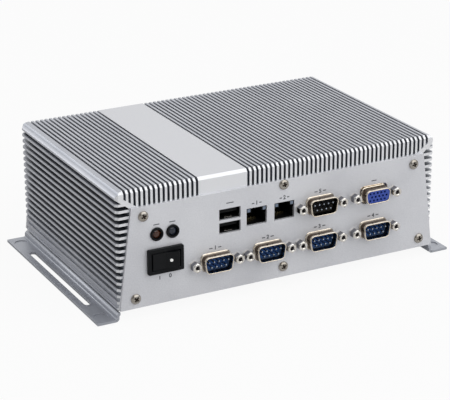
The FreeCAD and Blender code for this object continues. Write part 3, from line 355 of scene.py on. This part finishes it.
# Head height over radius r: an elliptic dome from the rim. The cross is a smooth notch along both diameters
# whose depth falls from the middle to its reach. Each screw is turned by its place, as real ones are.
def panScrews(name, node, axis, sign, spins=72):
    s = panScrew
    grids, recess = [], []
    radii = np.concatenate([np.linspace(0, s["fineRadius"], 24), np.linspace(s["fineRadius"], s["headRadius"], 9)[1:]])
    angle = np.arange(spins) * 2 * np.pi / spins
    r, a = radii[:, None], angle[None, :]
    dome = s["rim"] + (s["headHeight"] - s["rim"]) * np.sqrt(np.clip(1 - (r / (s["headRadius"] * 1.02)) ** 2, 0, 1))
    for low, high in islandBoxes(node):
        middle = (low + high) / 2
        turn = 0.6 + 40 * (middle[0] + middle[2])
        u, v = r * np.cos(a + turn), r * np.sin(a + turn)
        near, far = np.minimum(abs(u), abs(v)), np.maximum(abs(u), abs(v))
        notch = (1 / (1 + np.exp((near - s["crossHalfWidth"]) * s["sideSteepness"]))
                 / (1 + np.exp((far - s["crossReach"]) * s["endSteepness"])))
        height = dome - s["crossDepth"] * notch * np.clip(1.25 - far / (s["crossReach"] * 1.4), 0, 1)
        top = np.stack([r * np.cos(a), height + 0 * a, r * np.sin(a)], axis=-1)
        length = (high - low)[axis] / mm - s["headHeight"]
        under = spin([(s["headRadius"], 0), (s["shank"], 0), (s["shank"], -length + s["pointLength"]),
                      (s["pointRadius"], -length), (0, -length)], spins)
        local = np.concatenate([top, under]) * mm
        grid = np.empty_like(local)
        others = [k for k in range(3) if k != axis]
        seat = (low[axis] + s["headHeight"] * mm) if sign < 0 else (high[axis] - s["headHeight"] * mm)
        grid[..., others[0]] = middle[others[0]] + local[..., 0]
        grid[..., others[1]] = middle[others[1]] + local[..., 2]
        grid[..., axis] = seat + sign * local[..., 1]
        grids.append(grid)
        recess.append(np.concatenate([notch.reshape(-1), np.zeros(under.shape[0] * spins)]))
    gridPiece(name, grids, screwPlate, replaced=[node], smooth=30, recess=recess)


panScrews("frontScrewHeads", "front_panel_screws", 1, -1)
panScrews("rearScrewHeads", "rear_panel_screws", 1, 1)
panScrews("bracketScrewHeads", "bracket_screws", 2, -1, 48)
print("screws made")

# Hexagon jackscrews with a threaded hole.
jackScrew = {"flats": 4.75, "reach": 4.8, "hole": 1.25, "holeDepth": 4.0, "holeMouth": 0.25, "pitch": 0.635,
             "threadDepth": 0.07, "chamfer": 0.35, "chamferInset": 0.55, "shank": 1.45}


# Section radius at angle a: the hexagon's flat distance over cos of the angle from the nearest flat's middle,
# cut by a chamfer cone near the free end. The hole's wall swells and shrinks once per thread pitch.
def jackScrews(count=72):
    s = jackScrew
    angle = np.arange(count) * 2 * np.pi / count
    hexagon = s["flats"] / 2 / np.cos((angle + np.pi / 6) % (np.pi / 3) - np.pi / 6)
    corner = s["flats"] / math.sqrt(3)
    grids = []
    for low, high in islandBoxes("port_jackscrews"):
        middle = (low + high) / 2
        depth = np.linspace(s["holeDepth"], 0.3, 26)
        wall = s["hole"] + s["threadDepth"] * np.cos(2 * np.pi * depth / s["pitch"])
        inner = [(0.0, s["holeDepth"])] + list(zip(wall, depth)) + [(s["hole"] + s["holeMouth"], 0.0)]
        rows = [np.full((count, 2), pair) for pair in inner]
        for back in (0.0, s["chamfer"] * 0.5, s["chamfer"], 1.2, s["reach"]):
            limit = corner - s["chamferInset"] + back / s["chamfer"] * s["chamferInset"]
            radius = np.minimum(hexagon, limit) if back < s["chamfer"] else hexagon
            rows.append(np.stack([radius, np.full(count, back)], axis=-1))
        length = (high - low)[1] / mm
        outer = ((s["shank"], s["reach"]), (s["shank"], length), (0.0, length))
        rows += [np.full((count, 2), pair) for pair in outer]
        grid = np.array(rows)
        grids.append(np.stack([middle[0] + grid[..., 0] * np.cos(angle) * mm, low[1] + grid[..., 1] * mm,
                               middle[2] + grid[..., 0] * np.sin(angle) * mm], axis=-1))
    gridPiece("hexJackscrews", grids, nickelHex, replaced=["port_jackscrews"], smooth=32)


jackScrews()
print("jackscrews made")

# Drawn D shells: slope of the sides in degrees, and the outside of the plugs' and the socket's mouth.
dShell = {"side": 10.0, "corner": 2.6, "sheet": 0.5, "reach": 5.2, "lip": 0.22, "rootLength": 0.5, "rootReach": 0.35,
          "rootDepth": 0.1, "flangeReach": 0.9, "flangeSheet": 0.8, "plugMouth": (17.92, 9.36),
          "socketMouth": (16.33, 7.9)}


# Points of a D outline pushed outwards by an offset: the four corner centres stay, and each arc has its radius
# plus the offset. The wide side is up.
def dOutline(width, height, corner, offset, steps=12):
    taper = math.tan(math.radians(dShell["side"]))
    half = width / 2
    corners = np.array([(-half + height * taper, -height / 2), (half - height * taper, -height / 2),
                        (half, height / 2), (-half, height / 2)])
    before, after = np.roll(corners, 1, axis=0), np.roll(corners, -1, axis=0)
    toBefore = (before - corners) / np.linalg.norm(before - corners, axis=1)[:, None]
    toAfter = (after - corners) / np.linalg.norm(after - corners, axis=1)[:, None]
    inward = toBefore + toAfter
    inward /= np.linalg.norm(inward, axis=1)[:, None]
    halfAngle = np.arccos(np.clip((toBefore * toAfter).sum(axis=1), -1, 1)) / 2
    centre = corners + inward * (corner / np.sin(halfAngle))[:, None]
    outward = np.arctan2(-inward[:, 1], -inward[:, 0])
    sweep = np.pi / 2 - halfAngle
    angle = outward[:, None] + np.linspace(-1, 1, steps) * sweep[:, None]
    radius = corner + offset
    x = centre[:, :1] + radius * np.cos(angle)
    z = centre[:, 1:] + radius * np.sin(angle)
    return np.stack([x.reshape(-1), z.reshape(-1)], axis=-1)


def dShellPiece(name, node, mouth):
    s = dShell
    low, high, middle = nodeBox(node)
    total = (high[1] - low[1]) / mm
    sheet, lip, reach, flange = s["sheet"], s["lip"], s["reach"], total - s["flangeSheet"]
    rootStart, rootEnd = (0.0, reach - s["rootLength"]), (s["rootReach"], reach + s["rootDepth"])
    # inner wall from the back to the lip, round the lip, along the outside and out over a rounded root
    profile = [(-sheet, total), (-sheet, lip)]
    profile += roundStep((-sheet, lip), (-sheet, 0.0), (-sheet / 2, 0.0), 4)[1:]
    profile += roundStep((-sheet / 2, 0.0), (0.0, 0.0), (0.0, lip), 4)[1:]
    profile += [rootStart]
    profile += roundStep(rootStart, (0.0, reach), rootEnd, 4)[1:]
    profile += [(s["rootReach"], flange), (s["flangeReach"], flange), (s["flangeReach"], total), (-sheet, total)]
    rows = []
    for offset, back in profile:
        outline = dOutline(*mouth, s["corner"], offset)
        rows.append(np.stack([middle[0] + outline[:, 0] * mm, np.full(len(outline), low[1] + back * mm),
                              middle[2] + outline[:, 1] * mm], axis=-1))
    gridPiece(name, [np.array(rows)], nickelShell, replaced=[node], smooth=35)


for number in range(1, 6):
    dShellPiece("serialPlugShell%d" % number, "serial_shell_%d" % number, dShell["plugMouth"])
dShellPiece("videoSocketShell", "video_shell", dShell["socketMouth"])
print("shells made")

# Round pins with domed tips.
contactPin = {"radius": 0.5, "tip": 0.45}


def domedProfile(radius, rise, length, steps):  # a quarter ellipse, then a straight side and a flat back
    t = np.linspace(0, np.pi / 2, steps)
    return [(radius * math.sin(k), rise * (1 - math.cos(k))) for k in t] + [(radius, length), (0, length)]


def contactPins():
    s = contactPin
    grids = []
    for low, high in islandBoxes("serial_pins"):
        middle = (low + high) / 2
        profile = domedProfile(s["radius"], s["tip"], (high - low)[1] / mm, 6)
        grids.append(spin(profile, 18) * mm + np.array([middle[0], low[1], middle[2]]))
    gridPiece("roundContactPins", grids, pinPlate, replaced=["serial_pins"])


contactPins()
print("pins made")

# Indicator lights: a domed lens in a black holder with a rounded rim.
indicator = {"lens": 2.45, "dome": 1.1, "rimOuter": 3.6, "rimInner": 2.5, "rimReach": 1.2, "barrel": 3.0}


def indicatorLight(prefix, lens):
    s = indicator
    low, high, middle = nodeBox(prefix + "_led")
    profile = domedProfile(s["lens"], s["dome"], (high[1] - low[1]) / mm, 10)
    gridPiece(prefix + "LightLens", [spin(profile, 48) * mm + np.array([middle[0], low[1], middle[2]])], lens,
              replaced=[prefix + "_led"])
    low, high, middle = nodeBox(prefix + "_led_holder")
    length = (high[1] - low[1]) / mm
    inner, outer, reach, barrel = s["rimInner"], s["rimOuter"], s["rimReach"], s["barrel"]
    ring = [(inner, length)]
    ring += roundStep((inner, 0.5), (inner, 0.0), (inner + 0.45, 0.0))
    ring += roundStep((outer - 0.5, 0.0), (outer, 0.0), (outer, 0.6))
    ring += [(outer, reach), (barrel, reach), (barrel, length), (inner, length)]
    gridPiece(prefix + "LightHolder", [spin(ring, 48) * mm + np.array([middle[0], low[1], middle[2]])], housingNylon,
              replaced=[prefix + "_led_holder"])


indicatorLight("disk", amberLens)
indicatorLight("power", clearLens)
print("indicator lights made")

# The rocker's white dot, a thin round disc on its raised half, sunk a little into the paddle.
rockerDot = {"radius": 0.85, "thickness": 0.03, "sunk": 0.02, "reach": 3.0}


def rockerMark(count=32):
    s = rockerDot
    mesh = nodes["rocker_paddle"].data
    places = np.empty(len(mesh.vertices) * 3)
    mesh.vertices.foreach_get("co", places)
    places = places.reshape(-1, 3)
    hinge = next(j for j in frame["joints"] if j["name"] == "power_rocker")["pos_m"]
    front = places[places[:, 1] < hinge[1] - 0.001]
    tip = front[front[:, 1].argmin()]  # the raised edge
    valley = front[abs(front[:, 0] - hinge[0]) < 0.0012]
    valley = valley[valley[:, 1].argmin()]
    along = np.array([tip[0] - valley[0], tip[1] - valley[1], 0.0])
    along /= np.linalg.norm(along)
    outward = np.array([along[1], -along[0], 0.0])
    upward = np.array([0, 0, 1.0])
    centre = np.array([valley[0], valley[1], hinge[2]]) + along * s["reach"] * mm
    profile = np.array([(0, s["thickness"]), (s["radius"] - 0.05, s["thickness"]), (s["radius"], 0),
                        (s["radius"], -s["sunk"]), (0, -s["sunk"])])
    angle = (np.arange(count) * 2 * np.pi / count)[None, :, None]
    flat = profile[:, :1, None] * (np.cos(angle) * along + np.sin(angle) * upward)
    grid = centre + (flat + profile[:, 1:, None] * outward) * mm
    gridPiece("rockerDot", [grid], whiteInk, body="rocker")


rockerMark()
print("rocker dot made")

# Springs in the usb sockets: a bowed leaf on the floor of each opening, by height above the shell's underside.
usbSpring = {"floors": (1.74, 9.24), "halfWidth": 2.2, "length": 4.5, "bow": 0.9, "sheet": 0.2, "setBack": 0.3}


# Leaf section: a flat rectangle carried back along a half sine, rising by the bow at its middle.
def usbSprings():
    s = usbSpring
    low, high, middle = nodeBox("usb_shell")
    t = np.linspace(0, 1, 13)[:, None]
    grids = []
    for floor in s["floors"]:
        x = np.array([-1, 1, 1, -1])[None, :] * s["halfWidth"] + 0 * t
        y = s["setBack"] + t * s["length"] + np.zeros((1, 4))
        z = floor + s["bow"] * np.sin(np.pi * t) + np.array([0, 0, 1, 1])[None, :] * s["sheet"]
        leaf = np.stack([x, y, z], axis=-1)
        caps = [np.repeat(end.mean(axis=1, keepdims=True), 4, axis=1) for end in (leaf[:1], leaf[-1:])]
        grids.append(np.concatenate([caps[0], leaf, caps[1]]) * mm + np.array([middle[0], low[1], low[2]]))
    gridPiece("usbSprings", grids, nickelPlate)


usbSprings()
print("usb springs made")

# Plain marks printed on the panel: numerals between two bars over the numbered ports, single bars elsewhere, and
# a bar and a nought under the rocker. Rises are above a node's top.
marks = {"height": 2.2, "thickness": 0.03, "fatten": 0.10, "sideBarHeight": 0.55, "barHeight": 0.5,
         "serial": {"rise": 1.8, "aside": 2.6, "width": 1.9}, "lan": {"rise": 1.6, "aside": 2.2, "width": 1.4},
         "bars": {"usb_shell": (2.4, 4.2), "video_shell": (1.8, 3.2), "disk_led_holder": (1.6, 3.4),
                  "power_led_holder": (1.6, 3.4)},
         "rockerDrop": 3.0, "rockerAside": 3, "rockerBar": (0.5, 2.0)}


def printedMarks():
    thickness = marks["thickness"] * mm
    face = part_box("front_panel")[0][1] - thickness / 2
    meshes = []

    def numeral(text, x, z):
        curve = bpy.data.curves.new("numeral", "FONT")
        curve.body = text
        curve.size = marks["height"] * 1.38 * mm  # a numeral is 1 / 1.38 of its font's size
        curve.align_x = "CENTER"
        curve.align_y = "CENTER"
        curve.extrude = thickness / 2
        curve.offset = marks["fatten"] * mm
        holder = placeMesh("numeral", curve)
        bpy.context.view_layer.update()
        mesh = bpy.data.meshes.new_from_object(holder.evaluated_get(bpy.context.evaluated_depsgraph_get()))
        bpy.data.objects.remove(holder)
        mesh.transform(Matrix.Translation((x, face, z)) @ Matrix.Rotation(math.pi / 2, 4, "X"))
        meshes.append(mesh)

    def tablet(x, z, width, height):
        mesh = bpy.data.meshes.new("tablet")
        solid = bmesh.new()
        bmesh.ops.create_cube(solid, size=1.0)
        solid.to_mesh(mesh)
        solid.free()
        mesh.transform(Matrix.Translation((x, face, z)) @ Matrix.Diagonal((width * mm, thickness, height * mm, 1)))
        meshes.append(mesh)

    def above(node, rise):
        low, high, middle = nodeBox(node)
        return middle[0], high[2] + rise * mm

    def numbered(node, number, form):
        x, z = above(node % number, form["rise"])
        numeral(str(number), x, z)
        for side in (-1, 1):
            tablet(x + side * form["aside"] * mm, z, form["width"], marks["sideBarHeight"])

    for number in range(1, 6):
        numbered("serial_shell_%d", number, marks["serial"])
    for number in (1, 2):
        numbered("lan_jack_%d", number, marks["lan"])
    for node, (rise, width) in marks["bars"].items():
        tablet(*above(node, rise), width, marks["barHeight"])
    low, high, middle = nodeBox("rocker_housing")
    tablet(middle[0] - marks["rockerAside"] * mm, low[2] - marks["rockerDrop"] * mm, *marks["rockerBar"])
    numeral("0", middle[0] + marks["rockerAside"] * mm, low[2] - marks["rockerDrop"] * mm)
    joined = bmesh.new()
    for mesh in meshes:
        joined.from_mesh(mesh)
    bmesh.ops.recalc_face_normals(joined, faces=joined.faces)
    mesh = bpy.data.meshes.new("printedMarks")
    joined.to_mesh(mesh)
    joined.free()
    mesh.materials.append(panelInk)
    piece = placeMesh("printedMarks", mesh)
    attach(piece, "case")


printedMarks()
print("marks made")

# Floor and room. The floor's and the room's own light is what the camera sees, and lights the object less.
studio = {"floorReach": 6.0, "floorHex": "#c4c4c4", "floorGlow": 0.93, "glossyShare": 0.25, "worldStrength": 0.72,
          "lowSky": 0.40, "darkSide": 0.40, "frontShare": 1.9, "mirrorLow": 0.25}
# Soft boxes: place, the point each faces, size in metres, and power in watts.
lamps = {"overheadSoftbox": ((0.1, -0.3, 1.3), (0, 0, 0.03), (1.2, 0.9), 3.4),
         "frontSoftbox": ((0.75, -1.6, 1.25), (0, 0, 0.03), (3.0, 1.9), 29.0),
         "rimSoftbox": ((-0.75, 0.95, 0.50), (0, 0, 0.05), (0.5, 0.4), 1.7)}
viewpoint = {"place": (-0.40779, -0.77232, 0.36338), "yaw": 27.7635, "pitch": 20.9875, "roll": -0.2159,
             "lens": 133.514, "sensor": 36.0}


def directRays(tree, glossyShare=1.0):  # 1 for camera and transmission rays, and a share for glossy rays
    path = addNode(tree, "ShaderNodeLightPath")
    glossy = maths(tree, "MULTIPLY", path.outputs["Is Glossy Ray"], glossyShare)
    seen = maths(tree, "MAXIMUM", path.outputs["Is Camera Ray"], glossy)
    return path, maths(tree, "MAXIMUM", seen, path.outputs["Is Transmission Ray"])


def makeFloor():
    size = studio["floorReach"]
    mesh = bpy.data.meshes.new("studioFloor")
    mesh.from_pydata([(-size, -size, 0), (size, -size, 0), (size, size, 0), (-size, size, 0)], [], [(0, 1, 2, 3)])
    material = bpy.data.materials.new("paleFloor")
    material.use_nodes = True
    tree = material.node_tree
    shader = tree.nodes["Principled BSDF"]
    shader.inputs["Base Color"].default_value = hexColour(studio["floorHex"])
    shader.inputs["Roughness"].default_value = 0.9
    glow = addNode(tree, "ShaderNodeEmission", {"Color": (1, 1, 1, 1), "Strength": 1.0})
    share = maths(tree, "MULTIPLY", directRays(tree, studio["glossyShare"])[1], studio["floorGlow"])
    mixed = addNode(tree, "ShaderNodeMixShader", {0: share, 1: shader.outputs[0], 2: glow.outputs[0]})
    tree.links.new(mixed.outputs[0], tree.nodes["Material Output"].inputs["Surface"])
    mesh.materials.append(material)
    placeMesh("studioFloor", mesh)


# Soft light is stronger from overhead, from the right and from the front. Mirrors see a darker room in front
# than behind, which gives bare metal its contrast, and the camera sees plain white.
def makeWorld():
    world = bpy.data.worlds.new("studioWorld")
    bpy.context.scene.world = world
    world.use_nodes = True
    tree = world.node_tree
    tree.nodes.clear()
    direction = addNode(tree, "ShaderNodeTexCoord").outputs["Generated"]
    towards = addNode(tree, "ShaderNodeSeparateXYZ", {0: direction}).outputs
    upward = remap(tree, towards[2], -0.1, 0.8, studio["lowSky"], 1.0)
    sideways = remap(tree, towards[0], -0.7, 0.3, studio["darkSide"], 1.0)
    forward = remap(tree, towards[1], -0.9, 0.0, studio["frontShare"], 1.0)
    grade = maths(tree, "MULTIPLY", maths(tree, "MULTIPLY", upward, sideways), forward)
    lit = maths(tree, "MULTIPLY", grade, studio["worldStrength"])
    mirrored = remap(tree, towards[1], -0.5, 0.5, studio["mirrorLow"], 1.0)
    path, direct = directRays(tree)
    seen = mixNumber(tree, path.outputs["Is Camera Ray"], mixNumber(tree, direct, lit, mirrored), 1.0)
    shade = addNode(tree, "ShaderNodeBackground", {"Color": (1, 1, 1, 1), "Strength": seen})
    addNode(tree, "ShaderNodeOutputWorld", {"Surface": shade.outputs[0]})


def areaLight(name, place, target, size, power):
    light = bpy.data.lights.new(name, "AREA")
    light.shape = "RECTANGLE"
    light.size, light.size_y = size
    light.energy = power
    lamp = placeMesh(name, light)
    aim = Vector(target) - Vector(place)
    lamp.matrix_world = Matrix.Translation(place) @ aim.to_track_quat("-Z", "Y").to_matrix().to_4x4()


makeFloor()
makeWorld()
for lampName, settings in lamps.items():
    areaLight(lampName, *settings)

camera = bpy.data.cameras.new("viewCamera")
camera.sensor_fit = "HORIZONTAL"
camera.sensor_width = viewpoint["sensor"]
camera.lens = viewpoint["lens"]
camera.clip_start = 0.05
eye = placeMesh("viewCamera", camera)
eye.matrix_world = (Matrix.Translation(viewpoint["place"]) @ Matrix.Rotation(math.radians(-viewpoint["yaw"]), 4, "Z") @
                    Matrix.Rotation(math.radians(90 - viewpoint["pitch"]), 4, "X") @
                    Matrix.Rotation(math.radians(viewpoint["roll"]), 4, "Z"))
bpy.context.scene.camera = eye
bpy.context.scene.view_settings.view_transform = "Standard"
print("studio made")
